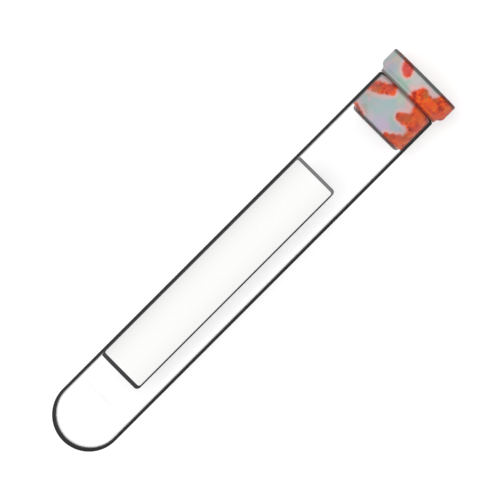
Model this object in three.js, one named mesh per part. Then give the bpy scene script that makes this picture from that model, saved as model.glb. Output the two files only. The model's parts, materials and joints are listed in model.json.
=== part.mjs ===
// Evacuated blood collection tube: a round-ended glass tube, a moulded rubber stopper with a marbled
// red and grey mix, a paper label and the plug of separator gel in the round end.
// Lengths are in millimetres and angles in degrees. Every piece is drawn about the tube's axis, which
// is +Y with the round end at the bottom. The finished group lies on its side, +Z up.

import * as THREE from 'three';

// Glass tube.
const tubeDiameter = 16.0;
const tubeWall = 1.1;
const tubeEndWall = 1.4;
const tubeLength = 105.2;

// Stopper's head, which overlaps the rim and is pulled by hand.
const headHeight = 5.8;
const headOverhang = 1.12;
const headEdgeRound = 0.4;
const neckHeight = 0.25;
const shoulderTurn = 60;

// Stopper's plug, with the hollow that thins the rubber for the needle.
const plugDepth = 10.1;
const plugEndRound = 0.7;
const plugWall = 2.85;
const hollowDepth = 7.85;
const hollowRound = 0.8;
const hollowLipRound = 0.4;
const plugClearance = 0.05;

// Well in the top of the head, which guides the needle.
const wellDiameter = 7.0;
const wellDepth = 3.6;
const wellEdgeRound = 0.4;
const wellFloorRound = 0.4;

// Paper label. Its edge angle is counted from the top of the lying tube.
const labelLength = 60.6;
const labelHeight = 19.1;
const labelWidth = 13.0;
const labelEdgeAngle = 27.0;
const labelCornerRound = 1.0;
const labelThickness = 0.08;
const labelGap = 0.03;

// Separator gel.
const gelDepth = 11.0;
const gelMeniscus = 0.7;
const gelClearance = 0.05;

// Fineness of the facets.
const roundSides = 64;
const arcTolerance = 0.02;

const tubeRadius = tubeDiameter / 2;
const boreRadius = tubeRadius - tubeWall;

const glass = new THREE.MeshStandardMaterial({
  color: 0xf4f8f8,
  roughness: 0.05,
  metalness: 0,
  transparent: true,
  opacity: 0.3,
});
const rubber = new THREE.MeshStandardMaterial({ color: 0xcf5c3a, roughness: 0.75, metalness: 0 });
const paper = new THREE.MeshStandardMaterial({ color: 0xf7f7f4, roughness: 0.9, metalness: 0 });
const gel = new THREE.MeshStandardMaterial({
  color: 0xeceae0,
  roughness: 0.25,
  metalness: 0,
  transparent: true,
  opacity: 0.6,
});

// Steps that keep an arc's chords within the tolerance.
function arcSteps(radius, turn) {
  const sag = Math.min(arcTolerance / radius, 1);
  return Math.max(2, Math.ceil(turn / (2 * Math.acos(1 - sag))));
}

// Arc that rounds the corner between two straight sides and touches both of them.
function cornerArc(before, corner, after, rounding) {
  const back = before.clone().sub(corner).normalize();
  const ahead = after.clone().sub(corner).normalize();
  const halfAngle = back.angleTo(ahead) / 2;
  const middle = back.clone().add(ahead).normalize();
  const centre = corner.clone().addScaledVector(middle, rounding / Math.sin(halfAngle));
  const touch = corner.clone().addScaledVector(back, rounding / Math.tan(halfAngle));
  const start = touch.sub(centre);
  const turn = Math.PI - 2 * halfAngle;
  const side = Math.sign(ahead.cross(back));
  const steps = arcSteps(rounding, turn);
  const points = [];
  for (let step = 0; step <= steps; step += 1) {
    const spoke = start.clone().rotateAround(new THREE.Vector2(), (side * turn * step) / steps);
    points.push(spoke.add(centre));
  }
  return points;
}

// Half section about the axis, from corners given as [radius, height, rounding].
function halfSection(corners) {
  const places = corners.map(([radius, height]) => new THREE.Vector2(radius, height));
  const points = [];
  corners.forEach(([, , rounding], index) => {
    const corner = places[index];
    const bends = rounding ? cornerArc(places[index - 1], corner, places[index + 1], rounding) : [corner];
    for (const bend of bends) {
      const last = points.at(-1);
      if (!last || last.distanceTo(bend) > 1e-6) {
        points.push(bend);
      }
    }
  });
  return points;
}

// Solid of revolution. Half a step of turn puts a flat facet underneath when the tube lies down.
function revolve(corners) {
  return new THREE.LatheGeometry(halfSection(corners), roundSides, Math.PI / roundSides);
}

// One wall of even thickness, with a round end outside and inside and a fire-polished rim.
function tubeGeometry() {
  const rimRound = tubeWall / 2;
  return revolve([
    [0, 0],
    [tubeRadius, 0, tubeRadius],
    [tubeRadius, tubeLength, rimRound],
    [boreRadius, tubeLength, rimRound],
    [boreRadius, tubeEndWall, boreRadius],
    [0, tubeEndWall],
  ]);
}

// One moulding about y = 0, the height of the rim: the head above, the plug below.
function stopperGeometry() {
  const plugRadius = boreRadius - plugClearance;
  const hollowRadius = plugRadius - plugWall;
  const wellRadius = wellDiameter / 2;
  const headRadius = tubeRadius + headOverhang;
  const turn = THREE.MathUtils.degToRad(shoulderTurn);
  const shoulderRound = headOverhang / (2 * (1 - Math.cos(turn)));
  const shoulderTouch = shoulderRound * Math.tan(turn / 2);
  const shoulderFoot = plugClearance + neckHeight + shoulderTouch;
  const shoulderTop = shoulderFoot + headOverhang / Math.tan(turn);
  return revolve([
    [0, hollowDepth - plugDepth],
    [hollowRadius, hollowDepth - plugDepth, hollowRound],
    [hollowRadius, -plugDepth, hollowLipRound],
    [plugRadius, -plugDepth, plugEndRound],
    [plugRadius, plugClearance],
    [tubeRadius, plugClearance],
    [tubeRadius, shoulderFoot, shoulderRound],
    [headRadius, shoulderTop, shoulderRound],
    [headRadius, headHeight, headEdgeRound],
    [wellRadius, headHeight, wellEdgeRound],
    [wellRadius, headHeight - wellDepth, wellFloorRound],
    [0, headHeight - wellDepth],
  ]);
}

// Soft fill of the round end. Its top dips to the middle where it wets the glass.
function gelGeometry() {
  const fillRadius = boreRadius - gelClearance;
  const floorHeight = tubeEndWall + gelClearance;
  const dishHeight = tubeEndWall + gelDepth;
  const dishRadius = (fillRadius ** 2 + gelMeniscus ** 2) / (2 * gelMeniscus);
  const dishTurn = Math.asin(fillRadius / dishRadius);
  const dishSteps = arcSteps(dishRadius, dishTurn);
  const wall = halfSection([
    [0, floorHeight],
    [fillRadius, floorHeight, fillRadius],
    [fillRadius, dishHeight + gelMeniscus],
  ]);
  const dish = [];
  for (let step = dishSteps - 1; step >= 0; step -= 1) {
    const turn = (dishTurn * step) / dishSteps;
    const height = dishHeight + dishRadius * (1 - Math.cos(turn));
    dish.push(new THREE.Vector2(dishRadius * Math.sin(turn), height));
  }
  return new THREE.LatheGeometry([...wall, ...dish], roundSides, Math.PI / roundSides);
}

// Distances across the label at which it is divided: close together along the rounded corners.
function labelDistances() {
  const cornerSteps = arcSteps(labelCornerRound, Math.PI / 2) + 1;
  const corner = [];
  for (let step = 0; step <= cornerSteps; step += 1) {
    const turn = (Math.PI / 2) * (step / cornerSteps);
    corner.push(labelCornerRound * (1 - Math.cos(turn)));
  }
  const plain = labelWidth - 2 * labelCornerRound;
  const sideWidth = (2 * Math.PI * tubeRadius) / roundSides;
  const plainSteps = Math.ceil(plain / sideWidth);
  const middle = [];
  for (let step = 1; step < plainSteps; step += 1) {
    middle.push(labelCornerRound + (plain * step) / plainSteps);
  }
  const farCorner = corner.map((distance) => labelWidth - distance).reverse();
  return [...corner, ...middle, ...farCorner];
}

// Thin strip bent round the glass. Each column is a cut through the paper, and the columns near a
// long edge are shortened so that the four corners are round.
function labelGeometry() {
  const innerRadius = tubeRadius + labelGap;
  const outerRadius = innerRadius + labelThickness;
  const edgeAngle = THREE.MathUtils.degToRad(labelEdgeAngle);
  const distances = labelDistances();
  const positions = [];
  for (const distance of distances) {
    const angle = edgeAngle + (distance - labelWidth) / outerRadius;
    const cut = Math.max(0, labelCornerRound - Math.min(distance, labelWidth - distance));
    const inset = labelCornerRound - Math.sqrt(Math.max(0, labelCornerRound ** 2 - cut ** 2));
    const low = labelHeight + inset;
    const high = labelHeight + labelLength - inset;
    for (const [radius, height] of [
      [innerRadius, low],
      [outerRadius, low],
      [outerRadius, high],
      [innerRadius, high],
    ]) {
      positions.push(radius * Math.sin(angle), height, radius * Math.cos(angle));
    }
  }
  const indices = [0, 1, 2, 0, 2, 3];
  for (let column = 0; column < distances.length - 1; column += 1) {
    for (let corner = 0; corner < 4; corner += 1) {
      const here = 4 * column + corner;
      const next = 4 * column + ((corner + 1) % 4);
      indices.push(here, here + 4, next, next + 4, next, here + 4);
    }
  }
  const last = 4 * (distances.length - 1);
  indices.push(last, last + 2, last + 1, last, last + 3, last + 2);
  const geometry = new THREE.BufferGeometry();
  geometry.setAttribute('position', new THREE.Float32BufferAttribute(positions, 3));
  geometry.setIndex(indices);
  const faceted = geometry.toNonIndexed();
  faceted.computeVertexNormals();
  return faceted;
}

// Tilt of the axis when the round end and a wider ring further up both touch the surface below.
function tiltOn(ringRadius, ringHeight) {
  const reach = ringHeight - tubeRadius;
  return Math.atan2(ringRadius, reach) - Math.asin(tubeRadius / Math.hypot(reach, ringRadius));
}

function makeMesh(name, geometry, material) {
  const mesh = new THREE.Mesh(geometry, material);
  mesh.name = name;
  return mesh;
}

function makeModel() {
  const stopper = makeMesh('stopper', stopperGeometry(), rubber);
  stopper.position.y = tubeLength;
  const group = new THREE.Group();
  group.add(makeMesh('tube', tubeGeometry(), glass));
  group.add(stopper);
  group.add(makeMesh('label', labelGeometry(), paper));
  group.add(makeMesh('gel', gelGeometry(), gel));

  // The tube lies on its round end and on the lowest full ring of the stopper's head.
  const turn = THREE.MathUtils.degToRad(shoulderTurn);
  const shoulderRise = (headOverhang * Math.sin(turn)) / (1 - Math.cos(turn));
  const ringHeight = tubeLength + plugClearance + neckHeight + shoulderRise;
  group.rotation.set(0, -tiltOn(tubeRadius + headOverhang, ringHeight), -Math.PI / 2);

  // Origin below the middle of the bounding box.
  const box = new THREE.Box3().setFromObject(group, true);
  const middle = box.getCenter(new THREE.Vector3());
  group.position.set(-middle.x, -middle.y, -box.min.z);
  group.updateMatrixWorld(true);
  return group;
}

export default makeModel();
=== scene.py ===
"""Blood collection tube on a white bench: round-ended glass, marbled rubber stopper, paper label and
separator gel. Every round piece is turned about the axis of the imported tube, in metres."""

import json
import math
import bmesh
import bpy
from mathutils import Matrix, Vector


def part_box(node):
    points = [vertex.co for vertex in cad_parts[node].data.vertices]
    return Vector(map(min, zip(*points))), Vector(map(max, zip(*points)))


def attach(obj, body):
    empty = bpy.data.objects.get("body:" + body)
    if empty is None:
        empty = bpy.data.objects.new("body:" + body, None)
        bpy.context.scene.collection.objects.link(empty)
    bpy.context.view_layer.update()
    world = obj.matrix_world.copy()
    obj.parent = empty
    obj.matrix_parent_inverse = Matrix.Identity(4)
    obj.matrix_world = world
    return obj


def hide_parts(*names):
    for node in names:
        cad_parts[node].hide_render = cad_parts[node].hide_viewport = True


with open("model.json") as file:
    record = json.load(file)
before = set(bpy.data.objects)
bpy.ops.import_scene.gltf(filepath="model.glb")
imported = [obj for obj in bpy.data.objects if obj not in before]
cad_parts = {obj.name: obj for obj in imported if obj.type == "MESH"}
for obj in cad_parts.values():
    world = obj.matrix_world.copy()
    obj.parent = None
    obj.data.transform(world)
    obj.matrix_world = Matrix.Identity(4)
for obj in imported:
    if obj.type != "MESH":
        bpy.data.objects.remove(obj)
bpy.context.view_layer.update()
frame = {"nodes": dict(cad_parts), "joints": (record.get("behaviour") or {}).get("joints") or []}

MM = 0.001

# ---------------------------------------------------------------- the tube's own axis, from the frame

ALONG = Vector(frame["joints"][0]["axis"]).normalized()
LEAN = math.asin(ALONG.z)
UP = Vector((-math.sin(LEAN), 0, math.cos(LEAN)))
RIGHT = ALONG.cross(UP)


def reach(solid, start=Vector((0, 0, 0))):
    """Lowest and highest distance of a solid's vertices along the axis, from start."""
    heights = [ALONG.dot(vertex.co - start) for vertex in frame["nodes"][solid].data.vertices]
    return min(heights), max(heights)


def middle(solid):
    """Mean of a turned solid's vertices, which lies on its axis."""
    vertices = frame["nodes"][solid].data.vertices
    return sum((vertex.co for vertex in vertices), Vector()) / len(vertices)


TUBE_MIDDLE = middle("tube")
FOOT = TUBE_MIDDLE + ALONG * reach("tube", TUBE_MIDDLE)[0]
TUBE_LENGTH = reach("tube", FOOT)[1]
OVERALL_LENGTH = reach("stopper", FOOT)[1]
LABEL_LOW, LABEL_HIGH = reach("label", FOOT)

# ---------------------------------------------------------------- sizes that the pieces are turned to

TUBE_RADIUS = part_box("tube")[1][1]
TUBE_WALL = 1.1 * MM
TUBE_END_WALL = 1.4 * MM
BORE_RADIUS = TUBE_RADIUS - TUBE_WALL
GLASS_INDEX = 1.5

# The plug and the gel reach this far into the glass, so that no air shows between them.
WETTING = 0.02 * MM

HEAD_HEIGHT = OVERALL_LENGTH - TUBE_LENGTH
HEAD_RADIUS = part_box("stopper")[1][1]
HEAD_OVERHANG = HEAD_RADIUS - TUBE_RADIUS
HEAD_EDGE_ROUND = 0.4 * MM
HEAD_SEAT = 0.05 * MM
SEAT_ROOT_ROUND = 0.05 * MM
SEAT_EDGE_ROUND = 0.08 * MM
NECK_HEIGHT = 0.25 * MM
SHOULDER_TURN = math.radians(60)
SHOULDER_ROUND = HEAD_OVERHANG / (2 * (1 - math.cos(SHOULDER_TURN)))
SHOULDER_RISE = 2 * SHOULDER_ROUND * math.sin(SHOULDER_TURN)
PLUG_DEPTH = TUBE_LENGTH - reach("stopper", FOOT)[0]
PLUG_WALL = 2.85 * MM
PLUG_END_ROUND = 1.1 * MM
HOLLOW_DEPTH = 7.85 * MM
HOLLOW_ROUND = 0.8 * MM
HOLLOW_LIP_ROUND = 0.4 * MM
WELL_RADIUS = 3.5 * MM
WELL_DEPTH = 3.6 * MM
WELL_EDGE_ROUND = 0.4 * MM
WELL_FLOOR_ROUND = 0.4 * MM

LABEL_GAP = 0.03 * MM
LABEL_THICKNESS = 0.08 * MM
LABEL_WIDTH = 13.0 * MM
LABEL_EDGE_ANGLE = math.radians(27.0)
LABEL_CORNER = 1.0 * MM
UV_PER_METRE = 10

GEL_DEPTH = 11.0 * MM
GEL_MENISCUS = 0.7 * MM

# Fineness of the meshes. Points closer than the first gap are one point, and the turned skins' seams close
# over the second.
POINT_GAP = 1e-8
SEAM_GAP = 1e-7
SIDES = 192
ARC_SAG = 0.0008 * MM
SUPPORT_GAP = 0.12 * MM
LABEL_STEPS = 48
LABEL_CORNER_STEPS = 12
DISH_STEPS = 24

# ---------------------------------------------------------------- bench, lamp, room and camera

BENCH_HALF = 3.0
LAMP_PLACE = Vector((-0.15, 0.45, 2.3))
LAMP_WIDTH = 1.5

# Levels of light, of which 1 is full white. The bench throws back its shade, and shows its glow as well.
# The room shows white, and lights the tube with only its level.
BENCH_SHADE = 0.6
BENCH_GLOW = 0.52
LAMP_LEVEL = 0.47
ROOM_LEVEL = 0.56

# A very long lens from far off, in millimetres, so that the tube is seen with hardly any perspective.
LENS = 1200
SENSOR_WIDTH = 36
CLIP_END = 20

# Width of the picture at the tube, and how far its middle lies to the right of and above the tube's own.
PICTURE_WIDTH = 108.1 * MM
AIM_RIGHT = 0.01125 * PICTURE_WIDTH
AIM_UP = 0.01875 * PICTURE_WIDTH


# ---------------------------------------------------------------- half sections


def arc_steps(radius, turn):
    """Steps that keep an arc's chords close to it."""
    return max(4, math.ceil(turn / (2 * math.acos(1 - ARC_SAG / radius))))


def corner_arc(before, corner, after, rounding):
    """Arc that rounds the corner between two straight sides and touches both."""
    back = (before - corner).normalized()
    ahead = (after - corner).normalized()
    half_angle = back.angle(ahead) / 2
    centre = corner + (back + ahead).normalized() * rounding / math.sin(half_angle)
    start = corner + back * rounding / math.tan(half_angle) - centre
    turn = math.pi - 2 * half_angle
    side = 1 if back.x * ahead.y - back.y * ahead.x < 0 else -1
    steps = arc_steps(rounding, turn)
    angles = [side * turn * step / steps for step in range(steps + 1)]
    return [centre + Matrix.Rotation(angle, 2) @ start for angle in angles]


def supported(points):
    """The same half section with a ring close to each end of every straight, so that it shades straight."""
    kept = [points[0]]
    for start, end in zip(points, points[1:]):
        length = (end - start).length
        if length > 4 * SUPPORT_GAP:
            share = SUPPORT_GAP / length
            kept += [start.lerp(end, share), start.lerp(end, 1 - share)]
        kept.append(end)
    return kept


def half_section(*corners):
    """Points (radius, height) from corners given as (radius, height) or (radius, height, rounding)."""
    places = [Vector(corner[:2]) for corner in corners]
    points = []
    for index, corner in enumerate(corners):
        bends = [places[index]]
        if len(corner) > 2:
            bends = corner_arc(places[index - 1], places[index], places[index + 1], corner[2])
        for bend in bends:
            if not points or (points[-1] - bend).length > POINT_GAP:
                points.append(bend)
    return supported(points)


def tube_section():
    """One even wall, round outside and inside at the end, with a fire-polished rim."""
    rim_round = TUBE_WALL / 2
    return half_section(
        (0, 0),
        (TUBE_RADIUS, 0, TUBE_RADIUS),
        (TUBE_RADIUS, TUBE_LENGTH, rim_round),
        (BORE_RADIUS, TUBE_LENGTH, rim_round),
        (BORE_RADIUS, TUBE_END_WALL, BORE_RADIUS),
        (0, TUBE_END_WALL),
    )


def stopper_section():
    """The moulded stopper, from the hollow under its plug round to the well in its head."""
    plug_radius = BORE_RADIUS + WETTING
    hollow_radius = plug_radius - PLUG_WALL
    end = TUBE_LENGTH - PLUG_DEPTH
    seat = TUBE_LENGTH + HEAD_SEAT
    shoulder_foot = seat + NECK_HEIGHT + SHOULDER_ROUND * math.tan(SHOULDER_TURN / 2)
    shoulder_top = shoulder_foot + HEAD_OVERHANG / math.tan(SHOULDER_TURN)
    top = TUBE_LENGTH + HEAD_HEIGHT
    return half_section(
        (0, end + HOLLOW_DEPTH),
        (hollow_radius, end + HOLLOW_DEPTH, HOLLOW_ROUND),
        (hollow_radius, end, HOLLOW_LIP_ROUND),
        (plug_radius, end, PLUG_END_ROUND),
        (plug_radius, seat, SEAT_ROOT_ROUND),
        (TUBE_RADIUS, seat, SEAT_EDGE_ROUND),
        (TUBE_RADIUS, shoulder_foot, SHOULDER_ROUND),
        (HEAD_RADIUS, shoulder_top, SHOULDER_ROUND),
        (HEAD_RADIUS, top, HEAD_EDGE_ROUND),
        (WELL_RADIUS, top, WELL_EDGE_ROUND),
        (WELL_RADIUS, top - WELL_DEPTH, WELL_FLOOR_ROUND),
        (0, top - WELL_DEPTH),
    )


def gel_section():
    """The fill of the round end, with a dished top."""
    fill_radius = BORE_RADIUS + WETTING
    floor = TUBE_END_WALL - WETTING
    dish = TUBE_END_WALL + GEL_DEPTH
    wall = half_section((0, floor), (fill_radius, floor, fill_radius), (fill_radius, dish + GEL_MENISCUS))
    dish_radius = (fill_radius**2 + GEL_MENISCUS**2) / (2 * GEL_MENISCUS)
    turn = math.asin(fill_radius / dish_radius)
    turns = [turn * step / DISH_STEPS for step in range(DISH_STEPS - 1, -1, -1)]
    top = [Vector((dish_radius * math.sin(t), dish + dish_radius * (1 - math.cos(t)))) for t in turns]
    return wall + top


# ---------------------------------------------------------------- nodes


def node(tree, kind, **settings):
    """A node with its properties set. A setting named in_0, in_1 or in_Name is an input's value or link."""
    made = tree.nodes.new(kind)
    for name, value in settings.items():
        if not name.startswith("in_"):
            setattr(made, name, value)
    for name, value in settings.items():
        if name.startswith("in_"):
            key = name[3:].replace("_", " ")
            socket = made.inputs[int(key)] if key.isdigit() else made.inputs[key]
            if isinstance(value, bpy.types.NodeSocket):
                tree.links.new(value, socket)
            else:
                socket.default_value = value
    return made


def maths(tree, operation, *values):
    """Result of a Math node on those values."""
    inputs = {f"in_{index}": value for index, value in enumerate(values)}
    return node(tree, "ShaderNodeMath", operation=operation, **inputs).outputs[0]


def vector_maths(tree, operation, *vectors):
    """Result of a Vector Math node on those vectors: a number for a length, and a vector otherwise."""
    inputs = {f"in_{index}": vector for index, vector in enumerate(vectors)}
    made = node(tree, "ShaderNodeVectorMath", operation=operation, **inputs)
    return made.outputs["Value" if operation == "LENGTH" else "Vector"]


def parts_of(tree, vector):
    """The outputs X, Y and Z of a vector."""
    return node(tree, "ShaderNodeSeparateXYZ", in_0=vector).outputs


def mapped(tree, value, start, end, low=0.0, high=1.0, soft=False):
    """The value carried over from the range start to end to the range low to high, and held there."""
    return node(
        tree,
        "ShaderNodeMapRange",
        interpolation_type="SMOOTHSTEP" if soft else "LINEAR",
        in_Value=value,
        in_From_Min=start,
        in_From_Max=end,
        in_To_Min=low,
        in_To_Max=high,
    ).outputs[0]


def noise(tree, place, scale, detail, roughness=0.5):
    """The outputs Fac and Color of noise over a place."""
    return node(
        tree,
        "ShaderNodeTexNoise",
        in_Vector=place,
        in_Scale=scale,
        in_Detail=detail,
        in_Roughness=roughness,
    ).outputs


# ---------------------------------------------------------------- turned pieces, by Geometry Nodes


def turning_inputs(tree):
    """The named inputs of the tree that turns a half section."""
    sockets = (
        ("Section", "NodeSocketGeometry"),
        ("Sides", "NodeSocketInt"),
        ("Foot", "NodeSocketVector"),
        ("Lean", "NodeSocketFloat"),
        ("Finish", "NodeSocketMaterial"),
    )
    for name, kind in sockets:
        tree.interface.new_socket(name, in_out="INPUT", socket_type=kind)
    return tree.nodes.new("NodeGroupInput").outputs


def turned_place(tree, given, seam):
    """Place of a point of the sheet. Its row picks a point of the half section, and its column the turn."""
    index = tree.nodes.new("GeometryNodeInputIndex").outputs[0]
    found = node(
        tree,
        "GeometryNodeSampleIndex",
        data_type="FLOAT_VECTOR",
        in_Geometry=given["Section"],
        in_Value=tree.nodes.new("GeometryNodeInputPosition").outputs[0],
        in_Index=maths(tree, "FLOOR", maths(tree, "DIVIDE", index, seam)),
    )
    radius, height, _ = parts_of(tree, found.outputs[0])
    column = maths(tree, "FLOORED_MODULO", index, seam)
    angle = maths(tree, "MULTIPLY", maths(tree, "DIVIDE", column, given["Sides"]), math.tau)
    across = maths(tree, "MULTIPLY", radius, maths(tree, "SINE", angle))
    upward = maths(tree, "MULTIPLY", radius, maths(tree, "COSINE", angle))
    level = node(tree, "ShaderNodeCombineXYZ", in_0=height, in_1=across, in_2=upward).outputs[0]
    leant = node(
        tree,
        "ShaderNodeVectorRotate",
        rotation_type="Y_AXIS",
        in_Vector=level,
        in_Angle=maths(tree, "MULTIPLY", given["Lean"], -1.0),
    ).outputs[0]
    return vector_maths(tree, "ADD", leant, given["Foot"])


def turning_tree():
    """Turns a half section, a line of points (radius, height), about an axis into a closed skin."""
    tree = bpy.data.node_groups.new("turned on the tube axis", "GeometryNodeTree")
    given = turning_inputs(tree)
    rings = node(tree, "GeometryNodeAttributeDomainSize", in_0=given["Section"]).outputs["Point Count"]
    seam = maths(tree, "ADD", given["Sides"], 1.0)
    sheet = node(tree, "GeometryNodeMeshGrid", in_Vertices_X=rings, in_Vertices_Y=seam).outputs["Mesh"]
    place = turned_place(tree, given, seam)
    skin = node(tree, "GeometryNodeSetPosition", in_Geometry=sheet, in_Position=place).outputs[0]
    closed = node(tree, "GeometryNodeMergeByDistance", in_Geometry=skin, in_Distance=SEAM_GAP).outputs[0]
    smooth = node(tree, "GeometryNodeSetShadeSmooth", in_Geometry=closed).outputs[0]
    real = node(tree, "GeometryNodeRealizeInstances", in_Geometry=smooth).outputs[0]
    piece = node(tree, "GeometryNodeSetMaterial", in_Geometry=real, in_Material=given["Finish"]).outputs[0]
    tree.interface.new_socket("Piece", in_out="OUTPUT", socket_type="NodeSocketGeometry")
    out = tree.nodes.new("NodeGroupOutput")
    tree.links.new(piece, out.inputs[0])
    return tree


def linked(piece):
    """The same object, linked into the scene."""
    bpy.context.scene.collection.objects.link(piece)
    return piece


def face_outwards(mesh):
    """Merges doubles, drops faces without area and points the normals of a closed skin outwards."""
    shape = bmesh.new()
    shape.from_mesh(mesh)
    bmesh.ops.remove_doubles(shape, verts=shape.verts, dist=POINT_GAP)
    loose = [face for face in shape.faces if face.calc_area() < POINT_GAP**2]
    bmesh.ops.delete(shape, geom=loose, context="FACES")
    bmesh.ops.recalc_face_normals(shape, faces=shape.faces)
    if shape.calc_volume(signed=True) < 0:
        bmesh.ops.reverse_faces(shape, faces=shape.faces)
    shape.to_mesh(mesh)
    shape.free()


def turned(name, section, finish, tree):
    """A piece turned from a half section, as a plain mesh."""
    line = bpy.data.meshes.new(f"{name}_section")
    edges = [(index, index + 1) for index in range(len(section) - 1)]
    line.from_pydata([(point.x, point.y, 0) for point in section], edges, [])
    blank = linked(bpy.data.objects.new(f"{name}_blank", line))
    lathe = blank.modifiers.new("lathe", "NODES")
    lathe.node_group = tree
    values = {"Sides": SIDES, "Foot": FOOT, "Lean": LEAN, "Finish": finish}
    for socket in tree.interface.items_tree:
        if socket.name in values:
            lathe[socket.identifier] = values[socket.name]
    bpy.context.view_layer.update()
    shaped = blank.evaluated_get(bpy.context.evaluated_depsgraph_get())
    mesh = bpy.data.meshes.new_from_object(shaped)
    blank.modifiers.remove(lathe)
    bpy.data.objects.remove(blank)
    mesh.name = name
    # The blank's own empty slot goes, so that the finish comes first.
    while mesh.materials[0] != finish:
        mesh.materials.pop(index=0)
    face_outwards(mesh)
    return linked(bpy.data.objects.new(name, mesh))


def line_bore(tube, finish):
    """Gives the tube's faces that look inwards, to the bore, a finish of their own."""
    tube.data.materials.append(finish)
    for face in tube.data.polygons:
        height = max(TUBE_RADIUS, ALONG.dot(face.center - FOOT))
        if face.normal.dot(face.center - FOOT - ALONG * height) < 0:
            face.material_index = 1


# ---------------------------------------------------------------- label


def label_distances():
    """Distances across the label at which it is divided, close together along its round corners."""
    turn = math.pi / 2 / LABEL_CORNER_STEPS
    corner = [LABEL_CORNER * (1 - math.cos(turn * step)) for step in range(LABEL_CORNER_STEPS + 1)]
    plain = LABEL_WIDTH - 2 * LABEL_CORNER
    inner = [LABEL_CORNER + plain * step / LABEL_STEPS for step in range(1, LABEL_STEPS)]
    return corner + inner + [LABEL_WIDTH - distance for distance in reversed(corner)]


def label_column(shape, distance):
    """Corners of one cut through the paper, each as a vertex and its place on the flat sheet."""
    inner = TUBE_RADIUS + LABEL_GAP
    outer = inner + LABEL_THICKNESS
    angle = LABEL_EDGE_ANGLE + (distance - LABEL_WIDTH) / outer
    spoke = UP * math.cos(angle) + RIGHT * math.sin(angle)
    cut = max(0.0, LABEL_CORNER - min(distance, LABEL_WIDTH - distance))
    inset = LABEL_CORNER - math.sqrt(max(0.0, LABEL_CORNER**2 - cut**2))
    low = LABEL_LOW + inset
    high = LABEL_HIGH - inset
    rows = (low, low + SUPPORT_GAP, high - SUPPORT_GAP, high)
    corners = [(outer, height) for height in rows] + [(inner, height) for height in reversed(rows)]
    column = []
    for radius, height in corners:
        vertex = shape.verts.new(FOOT + ALONG * height + spoke * radius)
        column.append((vertex, (distance * UV_PER_METRE, (height - LABEL_LOW) * UV_PER_METRE)))
    return column


def paper_face(shape, sheet, corners, smooth):
    """One face of the paper, with its corners' places on the flat sheet as its UV map."""
    made = shape.faces.new([vertex for vertex, _ in corners])
    made.smooth = smooth
    for loop, (_, spot) in zip(made.loops, corners):
        loop[sheet].uv = spot


def strip_label(finish):
    """Paper strip bent round the glass. Of the eight faces between two cuts, two are its end edges."""
    shape = bmesh.new()
    sheet = shape.loops.layers.uv.new("sheet")
    columns = [label_column(shape, distance) for distance in label_distances()]
    for left, right in zip(columns, columns[1:]):
        for corner in range(8):
            after = (corner + 1) % 8
            quad = [left[corner], right[corner], right[after], left[after]]
            paper_face(shape, sheet, quad, corner not in (3, 7))
    paper_face(shape, sheet, columns[0], False)
    paper_face(shape, sheet, columns[-1][::-1], False)
    bmesh.ops.recalc_face_normals(shape, faces=shape.faces)
    mesh = bpy.data.meshes.new("paper_label")
    shape.to_mesh(mesh)
    shape.free()
    mesh.materials.append(finish)
    return linked(bpy.data.objects.new("paper_label", mesh))


# ---------------------------------------------------------------- finishes


def new_finish(name):
    """An empty node material and its output."""
    finish = bpy.data.materials.new(name)
    finish.use_nodes = True
    finish.node_tree.nodes.clear()
    return finish, finish.node_tree, finish.node_tree.nodes.new("ShaderNodeOutputMaterial")


def colour(red, green, blue):
    """A colour written as 0 to 255, made linear."""
    shares = [value / 255 for value in (red, green, blue)]
    return (*[s / 12.92 if s <= 0.04045 else ((s + 0.055) / 1.055) ** 2.4 for s in shares], 1)


def grey(level):
    """A grey of that level, which is linear."""
    return (level, level, level, 1)


def ramp(tree, value, *stops):
    """Colour ramp over (position, colour) stops."""
    made = node(tree, "ShaderNodeValToRGB", in_0=value)
    elements = made.color_ramp.elements
    while len(elements) < len(stops):
        elements.new(0.5)
    for element, (position, shade) in zip(elements, stops):
        element.position = position
        element.color = shade
    return made.outputs[0]


def mixed_colour(tree, share, first, second, blend="MIX"):
    """First colour where share is 0, second where it is 1."""
    made = node(
        tree,
        "ShaderNodeMix",
        data_type="RGBA",
        blend_type=blend,
        in_Factor=share,
        in_6=first,
        in_7=second,
    )
    return made.outputs[2]


def mixed_finish(tree, share, first, second):
    """First shader where share is 0, second where it is 1."""
    return node(tree, "ShaderNodeMixShader", in_0=share, in_1=first, in_2=second).outputs[0]


def measures(tree, height):
    """Place in millimetres from the axis at that height: x up the tube, y to the left and z to the top."""
    spot = tree.nodes.new("ShaderNodeTexCoord").outputs["Object"]
    start = (FOOT + ALONG * height) / MM
    return node(
        tree,
        "ShaderNodeMapping",
        in_Vector=spot,
        in_Location=-(Matrix.Rotation(LEAN, 3, "Y") @ start),
        in_Rotation=(0, LEAN, 0),
        in_Scale=(1 / MM,) * 3,
    ).outputs[0]


# ---------------------------------------------------------------- glass

# Share of plain glass's mirroring that the tube shows.
GLASS_MIRRORS = 0.35

# Painted shade on the glass where it is seen edge on: how far it is turned away where the shade starts and
# where it is full, from 0 face on to 1 edge on, how much sooner both come at the round end, and the shade
# itself.
EDGE_START = 0.49
EDGE_FULL = 0.64
EDGE_SOONER = 0.08
PAINTED_EDGE_SHADE = 0.05


def painted_edge_shade(tree, facing):
    """Share of painted shade where the glass is seen edge on. It comes sooner at the round end, whose wall
    is thicker.
    """
    height = parts_of(tree, measures(tree, 0))["X"]
    sooner = mapped(tree, height, TUBE_RADIUS / MM + 1, 0.0, high=EDGE_SOONER, soft=True)
    return mapped(tree, maths(tree, "ADD", facing, sooner), EDGE_START, EDGE_FULL, soft=True)


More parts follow.
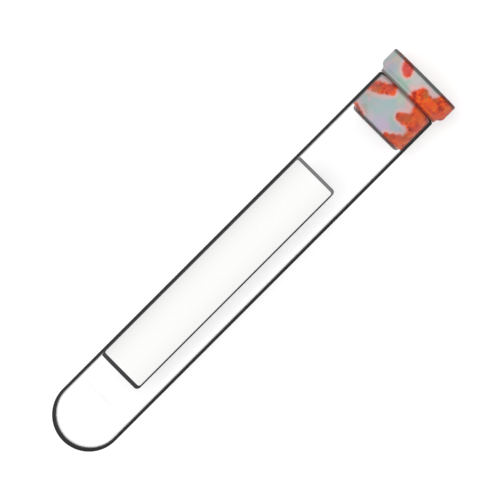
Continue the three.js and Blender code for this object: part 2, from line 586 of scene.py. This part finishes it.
def passing_light(tree, seen, facing):
    """The glass as it is seen, through which lamps and soft light pass nearly unchanged."""
    shade = ramp(tree, facing, (0.0, grey(0.99)), (0.6, grey(0.96)), (0.9, grey(0.75)))
    clear = node(tree, "ShaderNodeBsdfTransparent", in_Color=shade).outputs[0]
    path = tree.nodes.new("ShaderNodeLightPath").outputs
    for ray in ("Is Diffuse Ray", "Is Shadow Ray"):
        seen = mixed_finish(tree, path[ray], seen, clear)
    return seen


def glass(name, painted_edge):
    """Clear glass. With a painted edge, it has painted dark shade where it is seen edge on."""
    finish, tree, out = new_finish(name)
    facing = node(tree, "ShaderNodeLayerWeight", in_Blend=0.5).outputs["Facing"]
    seen = node(
        tree,
        "ShaderNodeBsdfPrincipled",
        in_Base_Color=grey(1.0),
        in_Roughness=0.0,
        in_IOR=GLASS_INDEX,
        in_Specular_Tint=grey(GLASS_MIRRORS),
        in_Transmission_Weight=1.0,
    ).outputs[0]
    if painted_edge:
        # A dark diffuse finish, mixed in by how far the glass is turned away: painted shade along its edge
        # of sight.
        dark = node(tree, "ShaderNodeBsdfDiffuse", in_Color=grey(PAINTED_EDGE_SHADE)).outputs[0]
        seen = mixed_finish(tree, painted_edge_shade(tree, facing), seen, dark)
    tree.links.new(passing_light(tree, seen, facing), out.inputs["Surface"])
    return finish


# ---------------------------------------------------------------- rubber

# Red blotches in millimetres: height above the rim, offset to the right of the axis as seen from above,
# and radius. The first set lies on the head, the second on the plug behind the glass.
HEAD_BLOTCHES = (
    (4.9, -4.8, 1.2),
    (4.2, -4.0, 1.3),
    (3.6, -3.5, 1.0),
    (6.0, -7.6, 0.7),
    (6.0, -6.2, 0.7),
    (1.5, 1.3, 1.3),
    (2.6, 2.0, 1.4),
    (0.7, 2.7, 1.4),
    (2.2, 3.5, 1.45),
    (0.2, 1.5, 1.3),
    (0.1, 3.0, 1.3),
    (0.8, 4.6, 1.5),
    (2.8, 5.2, 1.6),
    (3.4, 6.8, 1.4),
    (4.4, 5.9, 1.5),
    (1.4, 6.4, 2.0),
    (4.7, 7.4, 1.6),
    (3.0, 8.2, 2.2),
    (1.0, 7.9, 1.9),
    (5.0, 8.7, 2.0),
    (2.2, 9.0, 2.6),
)
PLUG_BLOTCHES = (
    (-1.5, -2.9, 0.9),
    (-1.8, -4.0, 1.35),
    (-2.5, -5.1, 1.45),
    (-3.0, -6.1, 1.5),
    (-3.4, -7.0, 1.4),
    (-0.5, -3.5, 0.8),
    (-9.9, -4.6, 0.9),
    (-9.8, -5.6, 1.0),
    (-9.5, -6.6, 1.0),
    (-0.6, 3.7, 1.3),
    (-0.4, 5.6, 1.8),
    (-2.3, 4.4, 1.7),
    (-3.6, 3.2, 1.35),
    (-4.1, 2.2, 1.05),
    (-4.0, 3.3, 1.1),
    (-3.8, 4.7, 1.3),
    (-2.4, 6.3, 1.9),
    (-4.3, 5.9, 1.4),
    (-0.9, 7.4, 1.8),
    (-4.0, 7.5, 1.8),
    (-6.0, 6.4, 1.6),
    (-7.2, 6.3, 1.4),
    (-8.1, 5.3, 1.3),
    (-8.2, 7.3, 1.6),
    (-8.7, 4.0, 1.0),
    (-9.3, 2.8, 0.9),
    (-9.4, 6.4, 1.2),
    (-9.8, 4.8, 1.1),
)

# Soft tints of the pale rubber: height above the rim, offset to the right, radius and colour, first on the
# head and then on the plug.
HEAD_PALE_TINTS = (
    (3.8, -7.3, 1.9, (196, 178, 170)),
    (1.9, -6.9, 1.7, (172, 172, 188)),
    (2.0, -2.8, 2.3, (152, 190, 170)),
    (2.4, -0.4, 1.3, (214, 178, 180)),
    (4.2, -1.2, 1.7, (196, 192, 190)),
    (4.6, 2.6, 1.7, (186, 178, 180)),
)
PLUG_PALE_TINTS = (
    (-1.2, -0.9, 1.5, (186, 192, 174)),
    (-4.6, -6.3, 1.3, (190, 166, 132)),
    (-4.6, -2.0, 2.8, (160, 184, 184)),
    (-8.2, 0.2, 2.2, (190, 172, 200)),
    (-6.4, 3.6, 1.5, (168, 182, 196)),
    (-9.4, -4.8, 1.9, (186, 138, 128)),
    (-1.6, 2.3, 1.3, (208, 172, 172)),
)

# Soft tints of the red, given in the same way.
HEAD_RED_TINTS = (
    (4.1, -4.2, 1.9, (204, 78, 80)),
    (3.3, 2.7, 1.1, (168, 92, 44)),
    (3.9, 4.8, 0.9, (178, 84, 42)),
    (1.6, 7.4, 1.7, (232, 82, 44)),
    (1.9, 4.9, 1.8, (236, 88, 34)),
)
PLUG_RED_TINTS = (
    (-3.7, -5.6, 1.4, (190, 96, 44)),
    (-1.9, -3.7, 1.3, (206, 72, 50)),
    (-4.3, 2.3, 1.2, (172, 70, 44)),
    (-3.0, 3.4, 1.3, (182, 82, 38)),
    (-1.3, 4.9, 1.7, (238, 94, 20)),
    (-3.4, 6.4, 1.3, (226, 60, 30)),
    (-6.8, 5.9, 1.3, (196, 78, 24)),
    (-8.7, 3.6, 1.3, (176, 66, 46)),
    (-9.3, -5.6, 1.7, (150, 66, 54)),
    (-7.8, 5.2, 1.2, (214, 92, 60)),
)

# How a spot's colour fades in: the distances in its radii where it starts and where it is full, and the
# full share.
TINT_FADE = (1.25, 0.4, 0.75)
BLUSH_FADE = (1.9, 1.2, 0.75)
RED_FADE = (1.28, 0.7, 1.0)
BLUSH = (226, 178, 174)

# Painted shade in dark rings round the rubber, along its top edge, at its seat in the crevice by the glass
# rim and at the plug's end: height above the rim, half width and inner radius in millimetres, and linear
# shade.
PAINTED_SHADE_RINGS = (
    (HEAD_HEIGHT / MM - 0.37, 0.4, HEAD_RADIUS / MM - 0.55, grey(0.22)),
    (0.02, 0.54, 5.0, (0.42, 0.31, 0.28, 1)),
    (-PLUG_DEPTH / MM + 0.05, 0.6, BORE_RADIUS / MM - 1.3, grey(0.16)),
)

# Where noise places the blotches in place of the list: underneath, fading out between these two heights
# above the axis, and on the head's end to this depth. In millimetres.
UNDER_LOW = -2.5
UNDER_HIGH = -0.5
END_DEPTH = 0.1

# Noise that frays the marbling: its scale per millimetre, its detail, and how far it pushes in millimetres.
BROAD_FOLDS = (0.42, 1.0, 0.6)
FINE_FOLDS = (1.1, 2.0, 0.55)
TINT_FOLDS = (0.6, 2.0, 1.6)

# How softly blotches run into each other, in their radii, and a distance that no blotch reaches.
RUN_TOGETHER = 0.3
OUT_OF_REACH = 3.0


def seen_through_glass(offset):
    """Angle round the plug at which a point seen at that offset from the axis lies, through the glass."""
    outside = math.asin(offset / TUBE_RADIUS)
    bent = math.asin(offset / (GLASS_INDEX * TUBE_RADIUS))
    return outside - bent + math.asin(offset / (GLASS_INDEX * BORE_RADIUS))


def on_stopper(head_spots, plug_spots):
    """Spots (height, offset, ...) put on the head and on the plug, as (height, across, up, ...)."""
    put = []
    for height, offset, *rest in head_spots:
        radius = (TUBE_RADIUS + HEAD_OVERHANG * min(1, height * MM / SHOULDER_RISE)) / MM
        put.append((height, offset, math.sqrt(radius**2 - offset**2), *rest))
    for height, offset, *rest in plug_spots:
        angle = seen_through_glass(offset * MM)
        put.append((height, BORE_RADIUS / MM * math.sin(angle), BORE_RADIUS / MM * math.cos(angle), *rest))
    return put


def pushed(tree, place, scale, detail, amount):
    """The place moved about by noise, which frays what is drawn there."""
    centred = vector_maths(tree, "SUBTRACT", noise(tree, place, scale, detail)["Color"], (0.5,) * 3)
    push = node(tree, "ShaderNodeVectorMath", operation="SCALE", in_0=centred, in_Scale=amount).outputs[0]
    return vector_maths(tree, "ADD", place, push)


def from_spot(tree, place, height, across, upward, radius):
    """Distance of the place from a spot, in the spot's own radii."""
    ball = node(
        tree,
        "ShaderNodeMapping",
        in_Vector=place,
        in_Location=-Vector((height, -across, upward)) / radius,
        in_Scale=(1 / radius,) * 3,
    ).outputs[0]
    return vector_maths(tree, "LENGTH", ball)


def hidden_distance(tree, place):
    """Distance from blotches that noise places, underneath and on the head's end. Elsewhere it is large."""
    cloud = noise(tree, place, scale=0.3, detail=1)["Fac"]
    away = mapped(tree, cloud, 0.44, 0.58, low=2.0, high=0.3)
    height, _, upward = parts_of(tree, place)
    end = HEAD_HEIGHT / MM
    over = mapped(tree, upward, UNDER_LOW, UNDER_HIGH, high=OUT_OF_REACH)
    below = mapped(tree, height, end - 0.2 * END_DEPTH, end - END_DEPTH, high=OUT_OF_REACH)
    return maths(tree, "ADD", away, maths(tree, "MINIMUM", over, below))


def blotch_distance(tree, own):
    """Distance from the nearest blotch's middle, in its radii, with a frayed edge."""
    folded = pushed(tree, pushed(tree, own, *BROAD_FOLDS), *FINE_FOLDS)
    nearest = hidden_distance(tree, own)
    for spot in on_stopper(HEAD_BLOTCHES, PLUG_BLOTCHES):
        nearest = maths(tree, "SMOOTH_MIN", nearest, from_spot(tree, folded, *spot), RUN_TOGETHER)
    return nearest


def faded_in(tree, distance, start, full, most):
    """A share that grows softly from 0 at the start distance to most at the full one."""
    return mapped(tree, distance, start, full, high=most, soft=True)


def tinted(tree, base, place, spots):
    """The base colour with a soft tint round each spot."""
    for *spot, shade in spots:
        share = faded_in(tree, from_spot(tree, place, *spot), *TINT_FADE)
        base = mixed_colour(tree, share, base, colour(*shade))
    return base


def shade_ring_share(tree, own, height, half_width, inner_radius):
    """Share of a ring of painted shade round the rubber, 1 in its middle and 0 outside."""
    along, across, upward = parts_of(tree, own)
    off = maths(tree, "ABSOLUTE", maths(tree, "SUBTRACT", along, height))
    spoke = node(tree, "ShaderNodeCombineXYZ", in_1=across, in_2=upward).outputs[0]
    band = mapped(tree, off, half_width * 1.5, half_width * 0.6, soft=True)
    rim = mapped(tree, vector_maths(tree, "LENGTH", spoke), inner_radius, inner_radius + 0.3, soft=True)
    return maths(tree, "MULTIPLY", band, rim)


def with_painted_shade(tree, own, base):
    """The base colour darkened by the rings of painted shade."""
    for *ring, shade in PAINTED_SHADE_RINGS:
        base = mixed_colour(tree, shade_ring_share(tree, own, *ring), base, shade, "MULTIPLY")
    return base


def red_rubber(tree, own, wavy):
    """The red of the rubber, mottled from brick to orange."""
    red = ramp(
        tree,
        noise(tree, own, scale=0.78, detail=2, roughness=0.6)["Fac"],
        (0.36, colour(168, 46, 28)),
        (0.45, colour(216, 62, 28)),
        (0.54, colour(245, 92, 25)),
        (0.66, colour(226, 112, 42)),
    )
    return tinted(tree, red, wavy, on_stopper(HEAD_RED_TINTS, PLUG_RED_TINTS))


def pale_rubber(tree, own, wavy):
    """The grey of the rubber, clouded from green to lilac."""
    pale = ramp(
        tree,
        noise(tree, own, scale=0.55, detail=3, roughness=0.6)["Fac"],
        (0.32, colour(154, 184, 168)),
        (0.45, colour(164, 182, 180)),
        (0.55, colour(180, 180, 182)),
        (0.66, colour(198, 176, 192)),
    )
    return tinted(tree, pale, wavy, on_stopper(HEAD_PALE_TINTS, PLUG_PALE_TINTS))


def marbled(tree, own):
    """Colour of the two rubbers folded into each other, with a blush where they meet."""
    wavy = pushed(tree, own, *TINT_FOLDS)
    nearest = blotch_distance(tree, own)
    blush_share = faded_in(tree, nearest, *BLUSH_FADE)
    blushed = mixed_colour(tree, blush_share, pale_rubber(tree, own, wavy), colour(*BLUSH))
    red_share = faded_in(tree, nearest, *RED_FADE)
    return mixed_colour(tree, red_share, blushed, red_rubber(tree, own, wavy))


def marbled_rubber():
    """Satin rubber of two colours, red and grey, with a fine moulded grain and rings of painted shade."""
    finish, tree, out = new_finish("marbled_rubber")
    own = measures(tree, TUBE_LENGTH)
    grain = noise(tree, own, scale=14, detail=3, roughness=0.6)["Fac"]
    relief = node(tree, "ShaderNodeBump", in_Strength=0.35, in_Distance=0.03 * MM, in_Height=grain)
    body = node(
        tree,
        "ShaderNodeBsdfPrincipled",
        in_Base_Color=with_painted_shade(tree, own, marbled(tree, own)),
        in_Roughness=mapped(tree, grain, 0.0, 1.0, low=0.42, high=0.6),
        in_Normal=relief.outputs[0],
        in_IOR=1.5,
        in_Specular_IOR_Level=0.3,
    )
    tree.links.new(body.outputs[0], out.inputs["Surface"])
    return finish


# ---------------------------------------------------------------- paper

# Printed frame along the label's edge, in millimetres: its width along the sides and at the two ends, the
# rounding of its inner corners, and half of what it encloses.
SIDE_BAND = 0.38
LOW_BAND = 0.9
HIGH_BAND = 0.78
BAND_CORNER = 0.6
HALF_WIDTH = LABEL_WIDTH / MM / 2 - SIDE_BAND
HALF_HEIGHT = ((LABEL_HIGH - LABEL_LOW) / MM - LOW_BAND - HIGH_BAND) / 2

# Where the ink fades to its faint shade, in millimetres short of the frame's inner edge at the stopper's
# end, and where the frame's own edge starts and is full, in millimetres past it.
FAINT_START = 1.0
FAINT_FULL = 0.2
INK_START = -0.05
INK_FULL = 0.03


def flat_sheet(tree):
    """Place on the flat sheet in millimetres, from the middle of what the printed frame encloses."""
    height = (LABEL_HIGH - LABEL_LOW) / MM
    return node(
        tree,
        "ShaderNodeMapping",
        in_Vector=tree.nodes.new("ShaderNodeTexCoord").outputs["UV"],
        in_Location=(-LABEL_WIDTH / MM / 2, -(height + LOW_BAND - HIGH_BAND) / 2, 0),
        in_Scale=(1 / (UV_PER_METRE * MM), 1 / (UV_PER_METRE * MM), 1),
    ).outputs[0]


def past_frame(tree, sheet):
    """Distance past the printed frame's inner edge, which has round corners, in millimetres."""
    straight = (HALF_WIDTH - BAND_CORNER, HALF_HEIGHT - BAND_CORNER, 0)
    past = vector_maths(tree, "SUBTRACT", vector_maths(tree, "ABSOLUTE", sheet), straight)
    arc = vector_maths(tree, "LENGTH", vector_maths(tree, "MAXIMUM", past, (0, 0, 0)))
    return maths(tree, "SUBTRACT", arc, BAND_CORNER)


def printed_paper(tree, sheet, fibre):
    """Colour of the white paper and its printed frame, whose ink is faint at the stopper's end."""
    white = ramp(tree, fibre, (0.3, colour(245, 245, 243)), (0.6, colour(251, 251, 250)))
    up = parts_of(tree, sheet)["Y"]
    faint = mapped(tree, up, HALF_HEIGHT - FAINT_START, HALF_HEIGHT - FAINT_FULL, soft=True)
    ink = mixed_colour(tree, faint, colour(48, 49, 52), colour(118, 119, 121))
    inked = mapped(tree, past_frame(tree, sheet), INK_START, INK_FULL, soft=True)
    return mixed_colour(tree, inked, white, ink)


def label_paper():
    """White matt paper with a little fibre."""
    finish, tree, out = new_finish("label_paper")
    sheet = flat_sheet(tree)
    fibre = noise(tree, sheet, scale=3.2, detail=5, roughness=0.65)["Fac"]
    relief = node(tree, "ShaderNodeBump", in_Strength=0.25, in_Distance=0.012 * MM, in_Height=fibre)
    body = node(
        tree,
        "ShaderNodeBsdfPrincipled",
        in_Base_Color=printed_paper(tree, sheet, fibre),
        in_Roughness=mapped(tree, fibre, 0.0, 1.0, low=0.62, high=0.78),
        in_Normal=relief.outputs[0],
        in_IOR=1.45,
    )
    tree.links.new(body.outputs[0], out.inputs["Surface"])
    return finish


# ---------------------------------------------------------------- gel

# Share of the gel that is milky. The rest is clear.
GEL_MILK = 0.03


def separator_gel():
    """Nearly clear gel: mostly see-through, with a faint milky body."""
    finish, tree, out = new_finish("separator_gel")
    spot = tree.nodes.new("ShaderNodeTexCoord").outputs["Object"]
    cloud = noise(tree, spot, scale=300, detail=3)["Fac"]
    milk = ramp(tree, cloud, (0.3, colour(226, 228, 224)), (0.7, colour(240, 240, 236)))
    body = node(tree, "ShaderNodeBsdfPrincipled", in_Base_Color=milk, in_Roughness=0.35, in_IOR=1.4)
    clear = node(tree, "ShaderNodeBsdfTransparent", in_Color=grey(1.0))
    tree.links.new(mixed_finish(tree, GEL_MILK, clear.outputs[0], body.outputs[0]), out.inputs["Surface"])
    return finish


# ---------------------------------------------------------------- setting up the stage


def seen_ray(tree):
    """1 for a ray from the camera, or one mirrored or bent by a piece, and 0 for one that carries light."""
    path = tree.nodes.new("ShaderNodeLightPath").outputs
    seen = path["Is Camera Ray"]
    for ray in ("Is Glossy Ray", "Is Transmission Ray"):
        seen = maths(tree, "MAXIMUM", seen, path[ray])
    return seen


def white_bench():
    """White bench top, which throws only part of its light back up under the tube."""
    finish, tree, out = new_finish("white_bench")
    top = node(tree, "ShaderNodeBsdfDiffuse", in_Color=grey(BENCH_SHADE)).outputs[0]
    glow = node(tree, "ShaderNodeEmission", in_Color=grey(1.0), in_Strength=BENCH_GLOW).outputs[0]
    bright = node(tree, "ShaderNodeAddShader", in_0=top, in_1=glow).outputs[0]
    tree.links.new(mixed_finish(tree, seen_ray(tree), top, bright), out.inputs["Surface"])
    return finish


def make_bench():
    """Flat bench under the tube."""
    mesh = bpy.data.meshes.new("bench")
    corners = [(-BENCH_HALF, -BENCH_HALF, 0), (BENCH_HALF, -BENCH_HALF, 0)]
    corners += [(BENCH_HALF, BENCH_HALF, 0), (-BENCH_HALF, BENCH_HALF, 0)]
    mesh.from_pydata(corners, [], [(0, 1, 2, 3)])
    mesh.materials.append(white_bench())
    linked(bpy.data.objects.new("bench", mesh))


def make_lamp():
    """Round soft box aimed at the tube, with the power that brings its level of light there."""
    lamp = bpy.data.lights.new("top_box", "AREA")
    lamp.shape = "DISK"
    lamp.size = LAMP_WIDTH
    lamp.energy = LAMP_LEVEL * math.pi**2 * (LAMP_PLACE.length_squared + LAMP_WIDTH**2 / 4)
    box = linked(bpy.data.objects.new("top_box", lamp))
    box.location = LAMP_PLACE
    box.rotation_euler = (-LAMP_PLACE).to_track_quat("-Z", "Y").to_euler()
    box.visible_glossy = False
    box.visible_transmission = False


def make_room():
    """White room, which lights the tube with only part of the brightness that shows."""
    world = bpy.data.worlds.new("room")
    bpy.context.scene.world = world
    world.use_nodes = True
    tree = world.node_tree
    backdrop = tree.nodes["Background"]
    backdrop.inputs["Color"].default_value = grey(1.0)
    strength = mapped(tree, seen_ray(tree), 0.0, 1.0, low=ROOM_LEVEL)
    tree.links.new(strength, backdrop.inputs["Strength"])


def make_camera():
    """Looks straight at the tube's side from above, with the tube running up to the right."""
    view = bpy.data.cameras.new("camera")
    view.lens = LENS
    view.sensor_width = SENSOR_WIDTH
    view.clip_end = CLIP_END
    distance = PICTURE_WIDTH * LENS / SENSOR_WIDTH
    image_right = (ALONG + RIGHT).normalized()
    image_up = (ALONG - RIGHT).normalized()
    aim = FOOT + ALONG * (OVERALL_LENGTH / 2) + image_right * AIM_RIGHT + image_up * AIM_UP
    axes = Matrix((image_right, image_up, UP)).transposed()
    camera = linked(bpy.data.objects.new("camera", view))
    camera.matrix_world = Matrix.Translation(aim + UP * distance) @ axes.to_4x4()
    bpy.context.scene.camera = camera


# ---------------------------------------------------------------- the piece list


def dress(piece, body, solid):
    """Puts the piece on its body in the solid's place, and hides the solid."""
    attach(piece, body)
    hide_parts(solid)


make_camera()
make_bench()
make_lamp()
make_room()

turning = turning_tree()
glass_tube = turned("glass_tube", tube_section(), glass("clear_glass", True), turning)
line_bore(glass_tube, glass("clear_glass_bore", False))
dress(glass_tube, "tube", "tube")

rubber_stopper = turned("rubber_stopper", stopper_section(), marbled_rubber(), turning)
dress(rubber_stopper, "stopper", "stopper")

dress(strip_label(label_paper()), "tube", "label")

gel_plug = turned("gel_plug", gel_section(), separator_gel(), turning)
gel_plug.visible_shadow = False
gel_plug.visible_diffuse = False
dress(gel_plug, "tube", "gel")

bpy.context.scene.view_settings.view_transform = "Standard"
